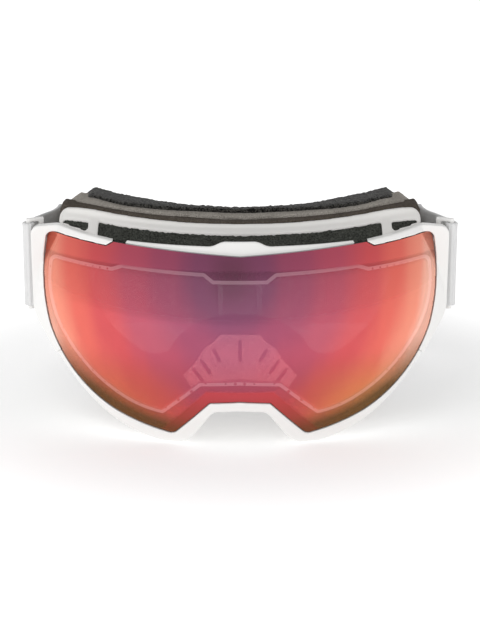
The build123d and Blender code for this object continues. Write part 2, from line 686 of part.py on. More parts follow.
def buckle_block(low_x, high_x):
    """A block of the buckle with rounded long edges."""
    depth = (REAR_MIDDLE_Y - BUCKLE_DEPTH / 2, REAR_MIDDLE_Y + BUCKLE_DEPTH / 2)
    block = region(x=(low_x, high_x), y=depth, z=(0, BUCKLE_HEIGHT))
    return fillet(block.edges().filter_by(Axis.X), BUCKLE_ROUND)


def tongue(margin):
    """The clip's tongue, or the space for it where a margin is given."""
    length, height, thick = TONGUE
    middle_z = BUCKLE_HEIGHT / 2
    half_thick = thick / 2 + margin
    half_height = height / 2 + margin
    return region(
        x=(BUCKLE_JOIN_X - length - margin, BUCKLE_JOIN_X + margin),
        y=(REAR_MIDDLE_Y - half_thick, REAR_MIDDLE_Y + half_thick),
        z=(middle_z - half_height, middle_z + half_height),
    )


def buckle_socket():
    block = buckle_block(-BUCKLE_BLOCK_X, BUCKLE_JOIN_X - BUCKLE_GAP)
    return block + mirror(buckle_end(), about=Plane.YZ) - tongue(BUCKLE_GAP)


def buckle_clip():
    return buckle_block(BUCKLE_JOIN_X, BUCKLE_BLOCK_X) + buckle_end() + tongue(0)


def slider():
    """A ladder-lock frame round both layers of webbing, with its bar between them."""
    low_x, high_x = SLIDER_X
    half = STRAP_THICK / 2 + SLIDER_GAP
    depth = (STRAP_BACK_Y - REAR_LAYER - half, STRAP_BACK_Y + half)
    height = (STRAP_REST_Z - SLIDER_GAP, REAR_TOP_Z + SLIDER_GAP)
    rail = height[0] - SLIDER_GAP
    frame = region(
        x=SLIDER_X,
        y=(depth[0] - SLIDER_WALL, depth[1] + SLIDER_WALL),
        z=(height[0] - rail, height[1] + rail),
    )
    frame = fillet(frame.edges().filter_by(Axis.Z), SLIDER_ROUND)
    through = region(y=depth, z=height)
    windows = region(x=(low_x + SLIDER_LIP, high_x - SLIDER_LIP), z=height)
    middle_x = (low_x + high_x) / 2
    bar_half = (REAR_LAYER - STRAP_THICK - SLIDER_GAP) / 2
    bar = region(
        x=(middle_x - SLIDER_BAR / 2, middle_x + SLIDER_BAR / 2),
        y=(REAR_MIDDLE_Y - bar_half, REAR_MIDDLE_Y + bar_half),
        z=(height[0] - SLIDER_GAP, height[1] + SLIDER_GAP),
    )
    return frame - through - windows + bar


# ---- All the pieces ----------------------------------------------------------------------------

frame = face_frame()
single = {
    "outer_lens": outer_lens(),
    "inner_lens": inner_lens(),
    "lens_spacer": lens_spacer(),
    "lens_carrier": lens_carrier(),
    "lens_trim": lens_trim(),
    "lens_magnets": lens_magnets(),
    "face_frame": frame,
    "frame_magnets": frame_magnets(),
    "lower_rim": lower_rim(),
    "nose_bridge": nose_bridge(),
    "vent_foam_top": vent_foam_top(frame),
    "vent_foam_side": vent_foam_side(frame),
    "vent_foam_bottom": vent_foam_bottom(),
    "foam_base": foam_base(),
    "foam_mid": foam_mid(),
    "face_fleece": face_fleece(),
    "buckle_socket": buckle_socket(),
    "buckle_clip": buckle_clip(),
}
paired = {
    "side_cap": side_cap(),
    "pivot_pin": pivot_pin(),
    "outrigger": outrigger(),
    "strap_{}_loop": strap_loop(),
    "strap_{}_side": strap_side(),
    "strap_{}_rear": strap_rear(),
    "grip": grip(),
    "slider": slider(),
}

pieces = dict(single)
for name, piece in paired.items():
    pattern = name if "{}" in name else name + "_{}"
    pieces[pattern.format("right")] = piece
    pieces[pattern.format("left")] = mirror(piece, about=Plane.YZ)

whole = Compound(children=[Compound(piece.solids()) for piece in pieces.values()]).bounding_box()
origin = Vector((whole.min.X + whole.max.X) / 2, (whole.min.Y + whole.max.Y) / 2, whole.min.Z)

os.makedirs("parts", exist_ok=True)
for name, piece in pieces.items():
    export_step(Pos(*(-origin)) * piece, f"parts/{name}.step")
print("lens apex y", -origin.Y, "size", whole.size)
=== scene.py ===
import json
import math

import bmesh
import bpy
import numpy as np
from mathutils import Matrix, Vector, noise


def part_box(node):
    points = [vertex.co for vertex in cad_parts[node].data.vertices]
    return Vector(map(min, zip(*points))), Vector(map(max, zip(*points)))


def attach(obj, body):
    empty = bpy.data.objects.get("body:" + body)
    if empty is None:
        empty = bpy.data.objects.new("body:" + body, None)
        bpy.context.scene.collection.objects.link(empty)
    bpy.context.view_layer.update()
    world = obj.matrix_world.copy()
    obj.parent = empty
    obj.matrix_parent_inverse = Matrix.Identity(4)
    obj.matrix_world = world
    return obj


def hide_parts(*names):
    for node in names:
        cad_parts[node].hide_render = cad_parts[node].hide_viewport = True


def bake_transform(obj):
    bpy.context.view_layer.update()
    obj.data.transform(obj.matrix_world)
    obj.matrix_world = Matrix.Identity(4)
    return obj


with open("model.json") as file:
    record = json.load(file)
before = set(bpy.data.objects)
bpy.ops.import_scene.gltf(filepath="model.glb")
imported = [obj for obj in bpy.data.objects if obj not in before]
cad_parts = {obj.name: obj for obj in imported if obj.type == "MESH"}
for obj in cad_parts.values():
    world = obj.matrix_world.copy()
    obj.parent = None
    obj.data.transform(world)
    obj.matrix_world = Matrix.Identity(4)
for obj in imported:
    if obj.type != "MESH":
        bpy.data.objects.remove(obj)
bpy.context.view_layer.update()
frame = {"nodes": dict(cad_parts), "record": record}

NODES = frame["nodes"]
MM = 0.001

# The lens apex is the reference point: x is the mid plane, z is the height above the table.
APEX_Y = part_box("outer_lens")[0].y


def at(x, y, z):
    """A point given in millimetres from the lens apex's foot."""
    return Vector((x * MM, APEX_Y + y * MM, z * MM))


def clamp(value):
    """A value held between 0 and 1."""
    return min(max(value, 0.0), 1.0)


def rgb(red, green, blue):
    """A display colour, 0 to 255, as the linear values that shaders take."""
    linear = []
    for value in (red, green, blue):
        part = value / 255
        linear.append(part / 12.92 if part <= 0.04045 else ((part + 0.055) / 1.055) ** 2.4)
    return (*linear, 1.0)


# ---- Material tools ----------------------------------------------------------------------------


class Material:
    """A material's node tree with short calls to add and join nodes."""

    def __init__(self, name, **plain):
        self.material = bpy.data.materials.new(name)
        self.material.use_nodes = True
        self.tree = self.material.node_tree
        self.shader = self.tree.nodes["Principled BSDF"]
        for socket, value in plain.items():
            self.shader.inputs[socket.replace("_", " ")].default_value = value
        self.place = self.node("ShaderNodeTexCoord").outputs["Object"]

    def node(self, kind, **inputs):
        node = self.tree.nodes.new(kind)
        for socket, value in inputs.items():
            self.set(node.inputs[socket.replace("_", " ")], value)
        return node

    def set(self, socket, value):
        if isinstance(value, bpy.types.NodeSocket):
            self.tree.links.new(value, socket)
        else:
            socket.default_value = value

    def link(self, socket_name, value):
        self.set(self.shader.inputs[socket_name], value)

    def noise(self, scale, detail=3.0, place=None):
        node = self.node("ShaderNodeTexNoise", Vector=place or self.place, Scale=scale, Detail=detail)
        return node.outputs["Fac"]

    def ramp(self, fac, stops, interpolation="LINEAR"):
        node = self.node("ShaderNodeValToRGB", Fac=fac)
        elements = node.color_ramp.elements
        node.color_ramp.interpolation = interpolation
        while len(elements) < len(stops):
            elements.new(0.5)
        for element, (position, colour) in zip(elements, stops):
            element.position = position
            element.color = colour
        return node.outputs["Color"]

    def math(self, operation, a, b=0.0, c=None):
        node = self.tree.nodes.new("ShaderNodeMath")
        node.operation = operation
        self.set(node.inputs[0], a)
        self.set(node.inputs[1], b)
        if c is not None:
            self.set(node.inputs[2], c)
        return node.outputs[0]

    def mix(self, fac, a, b, blend="MIX"):
        node = self.tree.nodes.new("ShaderNodeMix")
        node.data_type = "RGBA"
        node.blend_type = blend
        factor, first, second = node.inputs[0], node.inputs[6], node.inputs[7]
        self.set(factor, fac)
        self.set(first, a)
        self.set(second, b)
        return node.outputs[2]

    def clamped(self, value):
        return self.node("ShaderNodeClamp", Value=value).outputs[0]

    def centred(self, noise_value, spread):
        """A noise value as a swing either side of zero."""
        return self.math("MULTIPLY", self.math("SUBTRACT", noise_value, 0.5), spread)

    def fade(self, value, start, end, low=0.0, high=1.0, smooth=False):
        """Runs from low to high as a value goes from start to end."""
        node = self.node("ShaderNodeMapRange", Value=value, From_Min=start, From_Max=end)
        self.set(node.inputs["To Min"], low)
        self.set(node.inputs["To Max"], high)
        if smooth:
            node.interpolation_type = "SMOOTHSTEP"
        return node.outputs["Result"]

    def between(self, value, places, smooth=False):
        """0 at the first place and 1 at the second, both in millimetres."""
        return self.fade(value, places[0] * MM, places[1] * MM, smooth=smooth)

    def oval(self, x, z, centre, reach):
        """Distance from a centre, as a share of an oval's half width and half height (mm)."""
        across = self.math("DIVIDE", self.math("SUBTRACT", x, centre[0] * MM), reach[0] * MM)
        up = self.math("DIVIDE", self.math("SUBTRACT", z, centre[1] * MM), reach[1] * MM)
        squares = self.math("MULTIPLY", across, across), self.math("MULTIPLY", up, up)
        return self.math("POWER", self.math("ADD", *squares), 0.5)

    def axes(self, place=None):
        node = self.node("ShaderNodeSeparateXYZ", Vector=place or self.place)
        return node.outputs["X"], node.outputs["Y"], node.outputs["Z"]

    def bump(self, height, strength, distance):
        node = self.node("ShaderNodeBump", Height=height, Strength=strength, Distance=distance)
        self.link("Normal", node.outputs["Normal"])


# ---- Camera, light and floor -------------------------------------------------------------------

CAMERA_ELEVATION = math.radians(16.0)
CAMERA_DISTANCE = 800.0
CAMERA_AIM = (0.0, 30.0, 47.5)
CAMERA_LENS = 102.3
CAMERA_SENSOR = 36.0
CAMERA_SHIFT = 0.007

HORIZON_LIGHT = 1.08
ZENITH_LIGHT = 0.24
KEY_PLACE = (-500, -700, 900)
KEY_AIM = (0, 40, 40)
KEY_SIZE = 0.9                      # metres
KEY_POWER = 3

FLOOR_HALF = 6.0                    # metres
FLOOR_GLOW = (0.34, 0.66)           # near the object, where the dimmer glow paints a soft shadow round it, and away from it
FLOOR_GLOW_FROM = (0.11, 0.24)      # distances from the middle where each is reached, in metres


def add_camera():
    data = bpy.data.cameras.new("camera")
    data.lens = CAMERA_LENS
    data.sensor_width = CAMERA_SENSOR
    data.shift_y = CAMERA_SHIFT
    camera = new_object("camera", data)
    x, y, z = CAMERA_AIM
    back = CAMERA_DISTANCE * math.cos(CAMERA_ELEVATION)
    up = CAMERA_DISTANCE * math.sin(CAMERA_ELEVATION)
    camera.location = at(x, y - back, z + up)
    camera.rotation_euler = (math.pi / 2 - CAMERA_ELEVATION, 0, 0)
    bpy.context.scene.camera = camera


def add_key_light():
    """One broad light from the upper left, which mirrors don't show."""
    data = bpy.data.lights.new("key", "AREA")
    data.shape = "SQUARE"
    data.size = KEY_SIZE
    data.energy = KEY_POWER
    light = new_object("key", data)
    light.visible_glossy = False
    light.location = at(*KEY_PLACE)
    way = at(*KEY_AIM) - at(*KEY_PLACE)
    light.rotation_euler = way.to_track_quat("-Z", "Y").to_euler()


def add_world():
    """A white surround, brightest near the horizon and dimmer overhead."""
    world = bpy.data.worlds.new("studio")
    world.use_nodes = True
    tree = world.node_tree
    place = tree.nodes.new("ShaderNodeTexCoord")
    axes = tree.nodes.new("ShaderNodeSeparateXYZ")
    ramp = tree.nodes.new("ShaderNodeMapRange")
    ramp.inputs["To Min"].default_value = HORIZON_LIGHT
    ramp.inputs["To Max"].default_value = ZENITH_LIGHT
    background = tree.nodes["Background"]
    tree.links.new(place.outputs["Generated"], axes.inputs[0])
    tree.links.new(axes.outputs["Z"], ramp.inputs["Value"])
    tree.links.new(ramp.outputs["Result"], background.inputs["Strength"])
    background.inputs["Color"].default_value = (1, 1, 1, 1)
    bpy.context.scene.world = world


def add_floor():
    """A pale floor whose glow is weaker near the object, which paints a soft shadow round it, so that
    contact shadows show.
    """
    mesh = bpy.data.meshes.new("floor")
    half = FLOOR_HALF
    corners = [(-half, -half, 0), (half, -half, 0), (half, half, 0), (-half, half, 0)]
    mesh.from_pydata(corners, [], [(0, 1, 2, 3)])
    floor = new_object("floor", mesh)
    m = Material("floor", Base_Color=(0.93, 0.93, 0.93, 1), Roughness=0.6, Specular_IOR_Level=0.0)
    m.link("Emission Color", (1, 1, 1, 1))
    away = m.node("ShaderNodeVectorMath")
    away.operation = "LENGTH"
    m.set(away.inputs[0], m.place)
    glow_with_painted_shadow = m.fade(away.outputs["Value"], *FLOOR_GLOW_FROM, *FLOOR_GLOW, smooth=True)
    m.link("Emission Strength", glow_with_painted_shadow)
    mesh.materials.append(m.material)


# ---- Materials ---------------------------------------------------------------------------------


def white_plastic(name, base, roughness, coat):
    """Moulded plastic: faint mottling, a fine moulded grain and uneven gloss."""
    m = Material(name, Roughness=roughness, Coat_Weight=coat, Coat_Roughness=0.12)
    shaded = tuple(0.94 * c for c in base[:3]) + (1.0,)
    cloud = m.noise(35.0, 4.0)
    m.link("Base Color", m.mix(m.math("MULTIPLY", cloud, 0.5), base, shaded))
    smear = m.noise(90.0, 5.0)
    m.link("Roughness", m.math("MULTIPLY_ADD", smear, 0.18, roughness - 0.06))
    m.bump(m.noise(1400.0, 2.0), 0.12, 0.00003)
    return m.material


# The mirrored pane's colours are placed by x and z in millimetres. They are the coating's red and orange
# with painted reflections: the plum middle stands for the dark studio reflected, and the pale edges stand
# for reflected soft boxes.
LENS_ALPHA = 0.75
DARK_REFLECTION_CENTRE = (-3.0, 76.0)
COLOUR_REACH = (86.0, 98.0)         # half width and half height of the oval of its last colour
COATING_AND_REFLECTION_COLOURS = [
    (0.00, rgb(122, 66, 92)),
    (0.16, rgb(142, 76, 110)),
    (0.34, rgb(172, 80, 110)),
    (0.52, rgb(196, 84, 106)),
    (0.68, rgb(222, 88, 92)),
    (0.82, rgb(240, 112, 98)),
    (0.93, rgb(250, 152, 126)),
    (1.00, rgb(250, 186, 164)),
]
HIGHLIGHT_STREAK_SCALE = (90.0, 1.0, 4.0)
GOLD_Z = (42.0, 12.0)
GOLD_OUTWARD = (20.0, 56.0)         # distance from the mid plane
GOLD_RIGHTWARD = (-20.0, 50.0)      # turns from orange to gold
RIM_CENTRE = (0.0, 55.0)
RIM_REACH = (87.0, 52.5)
RIM_SHARES = (0.84, 0.965)          # where the rim's oval starts to darken, and is darkest
RIM_Z = (44.0, 22.0)
NOSE_POINT = (13.1, 20.5)           # on the slanted edge of the nose notch
NOSE_NORMAL = (0.712, 0.702)        # that edge's normal, across and up
NOSE_TOP_Z = 21.0
NOSE_BAND = (5.4, 4.2)              # distance from the notch
NOSE_BROWN_Z = (24.0, 6.0)
CARRIER_Z = (73.5, 76.5)
OPAQUE_Z = (77.2, 78.2)
EDGE_TILT = 0.75                    # faces that look up more steeply than this are the cut edge


def coating_with_painted_reflections(m, x, z):
    """Plum at the brow, red round it and orange towards the sides, with faint upright streaks: the
    coating's red with painted reflections, the plum for the dark studio, the orange and pale sides for
    the soft boxes, and the streaks as painted highlights.
    """
    highlight_streak_place = m.node("ShaderNodeMapping", Vector=m.place, Scale=HIGHLIGHT_STREAK_SCALE).outputs["Vector"]
    wander = m.centred(m.noise(16.0, 2.0), 0.07)
    # painted highlights: upright streaks that stand for reflected lights
    painted_highlight_streaks = m.centred(m.noise(1.0, 2.0, highlight_streak_place), 0.10)
    radius = m.math("ADD", m.oval(x, z, DARK_REFLECTION_CENTRE, COLOUR_REACH), wander)
    return m.ramp(m.math("ADD", radius, painted_highlight_streaks), COATING_AND_REFLECTION_COLOURS, "EASE")


def turn_gold(m, x, z, colours):
    """Low down the coating turns orange and gold, more so on the right."""
    low = m.between(z, GOLD_Z, smooth=True)
    outward = m.between(m.math("ABSOLUTE", x), GOLD_OUTWARD)
    gold = m.mix(m.between(x, GOLD_RIGHTWARD), rgb(226, 118, 74), rgb(246, 164, 84))
    return m.mix(m.math("MULTIPLY", m.math("MULTIPLY", low, outward), 0.85), colours, gold)


def darken_rim(m, x, z, colours):
    """Along its lower edge the pane is backed by the carrier and looks olive brown; the brown is also a
    painted reflection of the shaded floor near the contact.
    """
    edge = m.fade(m.oval(x, z, RIM_CENTRE, RIM_REACH), *RIM_SHARES)
    carrier_and_reflected_shade = m.math("MULTIPLY", edge, m.between(z, RIM_Z))
    return m.mix(m.math("MULTIPLY", carrier_and_reflected_shade, 0.9), colours, rgb(98, 70, 20))


def nose_band(m, x, z):
    """1 in a band round the nose notch, where the carrier backs the pane."""
    beside = m.math("SUBTRACT", m.math("ABSOLUTE", x), NOSE_POINT[0] * MM)
    above = m.math("SUBTRACT", z, NOSE_POINT[1] * MM)
    slant = m.math("MULTIPLY", beside, NOSE_NORMAL[0])
    slant = m.math("ADD", slant, m.math("MULTIPLY", above, NOSE_NORMAL[1]))
    notch = m.math("MAXIMUM", slant, m.math("SUBTRACT", z, NOSE_TOP_Z * MM))
    return m.between(notch, NOSE_BAND)


def lens_mirror():
    """The mirrored outer pane, opaque where the carrier or the trim backs it."""
    coat = {"Coat_Weight": 0.35, "Coat_Roughness": 0.03}
    m = Material("lens_mirror", Roughness=0.07, Metallic=0.82, Alpha=LENS_ALPHA, **coat)
    x, _, z = m.axes()
    colours = turn_gold(m, x, z, coating_with_painted_reflections(m, x, z))
    colours = darken_rim(m, x, z, colours)
    near = nose_band(m, x, z)
    # Round the nose the pane is darker and browner low down: partly the carrier behind it, partly painted
    # shade.
    nose_carrier_and_shade = m.mix(m.between(z, NOSE_BROWN_Z), rgb(198, 66, 70), rgb(118, 58, 24))
    colours = m.mix(m.math("MULTIPLY", near, 0.85), colours, nose_carrier_and_shade)
    # Above the window line the pane is darkened: partly the dark carrier behind it, partly painted shade
    # of the frame behind.
    carrier_and_shade_darkening = m.math("MULTIPLY", m.between(z, CARRIER_Z), 0.22)
    colours = m.mix(carrier_and_shade_darkening, colours, rgb(150, 40, 80), "MULTIPLY")
    backed = m.math("MAXIMUM", m.between(z, OPAQUE_Z), near)
    m.link("Alpha", m.math("MULTIPLY_ADD", backed, 1.0 - LENS_ALPHA, LENS_ALPHA))
    normal = m.node("ShaderNodeNewGeometry").outputs["True Normal"]
    cut_edge = m.math("GREATER_THAN", m.axes(normal)[2], EDGE_TILT)
    m.link("Base Color", m.mix(cut_edge, colours, rgb(84, 94, 96)))
    return m.material


def clear_pane():
    m = Material("clear_pane", Roughness=0.04, Alpha=0.3, Coat_Weight=0.6)
    mottle = m.math("MULTIPLY", m.noise(30.0), 0.2)
    m.link("Base Color", m.mix(mottle, rgb(150, 110, 120), rgb(130, 92, 104)))
    return m.material


def foam(name, dark, light, scale, height):
    """Open foam: cells at two sizes, with darker pits and uneven tone."""
    m = Material(name, Roughness=0.95, Specular_IOR_Level=0.1)
    cells = m.node("ShaderNodeTexVoronoi", Vector=m.place, Scale=scale).outputs["Distance"]
    fine = m.noise(scale * 1.7, 6.0)
    mottle = m.noise(130.0, 5.0)
    blend = m.math("MULTIPLY_ADD", cells, 0.6, m.centred(fine, 2.4))
    blend = m.math("MULTIPLY_ADD", mottle, 0.5, blend)
    m.link("Base Color", m.mix(m.clamped(blend), dark, light))
    m.bump(m.math("ADD", cells, fine), 1.0, height)
    return m.material


def fleece_cloth():
    """Brushed fleece: fine fibres, tufts and a pale bloom where the pile catches light."""
    m = Material("fleece", Roughness=1.0, Sheen_Weight=0.25, Sheen_Roughness=0.4, Specular_IOR_Level=0.05)
    fibres = m.math("SUBTRACT", m.noise(1500.0, 6.0), 0.5)
    tufts = m.math("SUBTRACT", m.noise(520.0, 4.0), 0.5)
    tone = m.math("MULTIPLY_ADD", fibres, 4.5, m.math("MULTIPLY_ADD", tufts, 1.2, 0.4))
    m.link("Base Color", m.mix(m.clamped(tone), rgb(14, 14, 13), rgb(86, 84, 80)))
    m.bump(m.math("ADD", fibres, tufts), 1.0, 0.0009)
    return m.material


RIB_PITCH = 0.0011                  # metres along the strap
THREAD_PITCH = 0.0008               # metres round its section


def webbing():
    """Woven elastic webbing: fine ribs across the strap and a looser thread over them."""
    m = Material("webbing", Roughness=0.85, Sheen_Weight=0.3, Sheen_Roughness=0.5)
    u, v, _ = m.axes(m.node("ShaderNodeUVMap").outputs["UV"])
    rib = m.math("SINE", m.math("MULTIPLY", u, 2 * math.pi / RIB_PITCH))
    weft = m.math("SINE", m.math("MULTIPLY", v, 2 * math.pi / THREAD_PITCH))
    height = m.math("MULTIPLY_ADD", m.math("MULTIPLY", rib, weft), 0.5, m.math("MULTIPLY", rib, 0.6))
    shade = m.math("MULTIPLY_ADD", height, 0.14, 0.3)
    shade = m.math("ADD", shade, m.math("MULTIPLY", m.noise(260.0, 4.0), 0.35))
    m.link("Base Color", m.mix(shade, rgb(246, 246, 246), rgb(214, 214, 214)))
    m.bump(height, 0.8, 0.00016)
    return m.material


def thread():
    m = Material("thread", Roughness=0.8)
    m.link("Base Color", m.mix(m.noise(1800.0, 3.0), rgb(214, 214, 214), rgb(176, 178, 178)))
    m.bump(m.noise(2600.0, 2.0), 0.6, 0.00005)
    return m.material


FRONT_FACING = (-0.2, -0.6)         # the normal's y where the glow of a front face starts and is full


def glow(material, colour, strength, front_only=False):
    """Stands for light that comes through a translucent piece from behind."""
    tree = material.node_tree
    shader = tree.nodes["Principled BSDF"]
    shader.inputs["Emission Color"].default_value = colour
    shader.inputs["Emission Strength"].default_value = strength
    if front_only:
        facing = tree.nodes.new("ShaderNodeSeparateXYZ")
        mask = tree.nodes.new("ShaderNodeMapRange")
        limits = (*FRONT_FACING, 0.0, strength)
        for socket, value in zip(("From Min", "From Max", "To Min", "To Max"), limits):
            mask.inputs[socket].default_value = value
        tree.links.new(tree.nodes.new("ShaderNodeNewGeometry").outputs["Normal"], facing.inputs[0])
        tree.links.new(facing.outputs["Y"], mask.inputs["Value"])
        tree.links.new(mask.outputs["Result"], shader.inputs["Emission Strength"])


def steel():
    m = Material("steel", Metallic=1.0, Roughness=0.3)
    m.link("Base Color", m.mix(m.noise(400.0, 4.0), rgb(190, 190, 192), rgb(150, 150, 154)))
    m.bump(m.noise(900.0, 2.0), 0.2, 0.00002)
    return m.material


# ---- Shapes ------------------------------------------------------------------------------------


def new_object(name, data):
    piece = bpy.data.objects.new(name, data)
    bpy.context.scene.collection.objects.link(piece)
    return piece


def apply_modifiers(piece):
    """Bakes a piece's modifiers into its mesh."""
    graph = bpy.context.evaluated_depsgraph_get()
    mesh = bpy.data.meshes.new_from_object(piece.evaluated_get(graph))
    piece.modifiers.clear()
    old = piece.data
    piece.data = mesh
    bpy.data.meshes.remove(old)


SMOOTH_FACTOR = 0.5


def moulded(node, voxel, smooth):
    """A CAD node's form with its edges softened: the voxel size in mm and the rounds of smoothing."""
    piece = new_object(node + "_form", NODES[node].data.copy())
    piece.data.materials.clear()
    remesh = piece.modifiers.new("remesh", "REMESH")
    remesh.mode = "VOXEL"
    remesh.voxel_size = voxel * MM
    ease = piece.modifiers.new("ease", "SMOOTH")
    ease.iterations = smooth
    ease.factor = SMOOTH_FACTOR
    apply_modifiers(piece)
    piece.data.shade_smooth()
    return piece


def settle(piece, body, slot, material, *nodes):
    """A finished rigid piece: its material, body and the nodes it stands for; the slot is not used."""
    piece.data.materials.clear()
    piece.data.materials.append(material)
    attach(piece, body)
    if nodes:
        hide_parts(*nodes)


def roughen(piece, size, depth, seed):
    """Pushes each vertex in or out along its normal, as lumps of a size and depth (mm)."""
    mesh = piece.data
    count = len(mesh.vertices)
    places = np.empty(count * 3)
    normals = np.empty(count * 3)
    mesh.vertices.foreach_get("co", places)
    mesh.vertices.foreach_get("normal", normals)
    places = places.reshape(-1, 3)
    samples = places / (size * MM) + seed
    heights = np.array([noise.noise(Vector(sample)) for sample in samples])
    places += normals.reshape(-1, 3) * heights[:, None] * depth * MM
    mesh.vertices.foreach_set("co", places.ravel())
    mesh.update()
    return piece


# Front face of a foam layer, as y on the centre line and radius, and how far its lip runs forward
LIPS = {"face_fleece": (45.0, 96.0, 11.0), "foam_mid": (38.0, 115.0, 4.5)}
LIP_DEPTH = 4.0              # the lip fades out this far behind the layer's front face
LIP_START_X = 14.0           # it starts this far from the mid plane
LIP_FADE_X = 40.0            # and is full this much further out
LIP_LOW_Z = 89.0             # it starts at this height
LIP_FADE_Z = 4.0             # and is full this much higher


def turn_lip(piece, front_y, radius, lip):
    """Lets a layer's front edge run forwards over the one before it, at both sides of the brow."""
    for vertex in piece.data.vertices:
        x = vertex.co.x / MM
        depth = (vertex.co.y - APEX_Y) / MM - (front_y + radius - math.sqrt(radius**2 - x**2))
        near_front = clamp(1.0 - depth / LIP_DEPTH)
        aside = clamp((abs(x) - LIP_START_X) / LIP_FADE_X)
        upper = clamp((vertex.co.z / MM - LIP_LOW_Z) / LIP_FADE_Z)
        vertex.co.y -= near_front * aside * upper * lip * MM
    piece.data.update()


def paint(material, *nodes):
    """Gives CAD nodes that are shown as they are their material."""
    for node in nodes:
        NODES[node].data.materials.clear()
        NODES[node].data.materials.append(material)


# ---- Straps ------------------------------------------------------------------------------------

STRAP_WIDTH = 38.0
STRAP_THICK = 1.5
STRAP_LOW_Z = 50.5           # the strap's lower edge beside the goggles
STRAP_REST_Z = 3.0           # and at the back
STRAP_X = 84.0               # its side run
STRAP_BACK_Y = 190.0         # its rear run
STRAP_BEND = 30.0            # radius between the two
STRAIGHT_Y = 88.0            # the side run is straight from here
JOIN_Y = 125.0               # the front and rear ribbons meet here
LEVEL_END_Y = 86.0           # the strap starts to sink here
LOW_START_Y = 176.0          # and is down here
BAR = (94.3, 53.0)           # the outrigger's bar, x and y
FOLD_RADIUS = 1.95           # of the strap's turn round that bar
FOLD_TURN = 16               # steps round the bar
FOLD_INSIDE = [(91.4, 62.4), (91.7, 60.5), (92.0, 58.7), (92.3, 57.0), (92.34, 55.6), (92.35, 54.2)]
CORNER = (90.4, 68.4)        # where the strap leaves the fold for the side run
REAR_BAR_X = 14.0            # the buckle's bar, which the strap turns round
REAR_LAYER = 3.4             # spacing of the two layers at the back
REAR_END_X = 46.0            # the folded-back tail ends here
WAVES = ((0.10, 0.21, 0.0), (0.06, 0.53, 1.0))   # height (mm), turn per mm and start of each ripple
WAVE_START_Y = 70.0
SELVEDGE = {0.0: 0.35, 0.12: 0.75, 0.4: 1.0, 1.4: 1.0}   # thickness share by distance from an edge
MIDDLE_SHARE = 0.88          # thickness share of the rest
EDGE_BAND = 2.0              # the selvedge ends this far from an edge
MIDDLE_STEPS = 14


def arc_points(centre, radius, start, end, count):
    """Points on a circle's arc in plan, by angle in degrees."""
    angles = [math.radians(start + (end - start) * i / count) for i in range(count + 1)]
    return [(centre[0] + radius * math.cos(a), centre[1] + radius * math.sin(a)) for a in angles]


def eased(start, start_way, end, end_way, count):
    """Points on a smooth curve between two points that leaves and arrives in the given directions."""
    points = []
    for i in range(count + 1):
        t = i / count
        weights = (2 * t**3 - 3 * t**2 + 1, t**3 - 2 * t**2 + t, 3 * t**2 - 2 * t**3, t**3 - t**2)
        parts = (start, start_way, end, end_way)
        points.append(tuple(sum(w * p[axis] for w, p in zip(weights, parts)) for axis in (0, 1)))
    return points


def straight(start, end, count):
    return [tuple(a + (b - a) * i / count for a, b in zip(start, end)) for i in range(count + 1)]


def strap_low(y):
    """Height of the strap's lower edge at y: level beside the goggles, then sinking to the table."""
    drop = STRAP_LOW_Z - STRAP_REST_Z
    half = (LOW_START_Y - LEVEL_END_Y) / 2
    radius = (half**2 + (drop / 2) ** 2) / drop
    if y <= LEVEL_END_Y:
        return STRAP_LOW_Z
    if y >= LOW_START_Y:
        return STRAP_REST_Z
    if y <= LEVEL_END_Y + half:
        return STRAP_LOW_Z - radius + math.sqrt(radius**2 - (y - LEVEL_END_Y) ** 2)
    return STRAP_REST_Z + radius - math.sqrt(radius**2 - (LOW_START_Y - y) ** 2)


def section(width, thick):
    """The strap's section, as across and up, with rounded edges and a thicker selvedge."""
    half = thick / 2
    edge_steps = [*SELVEDGE, EDGE_BAND]
    middle = width - 2 * EDGE_BAND
    rise = edge_steps + [EDGE_BAND + middle * i / MIDDLE_STEPS for i in range(1, MIDDLE_STEPS)]
    rise += [width - step for step in reversed(edge_steps)]

    def reach(up):
        edge = round(min(up, width - up), 2)
        return half * SELVEDGE.get(edge, MIDDLE_SHARE)

    outer = [(reach(up), up) for up in rise]
    inner = [(-reach(up), up) for up in reversed(rise)]
    return outer + inner


def ripple(y):
    """How far the strap stands off its route at y."""
    if y <= WAVE_START_Y:
        return 0.0
    return sum(height * math.sin(y * turn + start) for height, turn, start in WAVES)


def ring_at(path, i, shape, side):
    """The strap's section at one point of its path."""
    x, y = path[i]
    before, after = path[max(i - 1, 0)], path[min(i + 1, len(path) - 1)]
    way = Vector((after[0] - before[0], after[1] - before[1])).normalized()
    ring = []
    for across, up in shape:
        off = across + ripple(y)
        ring.append(at(side * (x + way.y * off), y - way.x * off, strap_low(y) + up))
    return ring


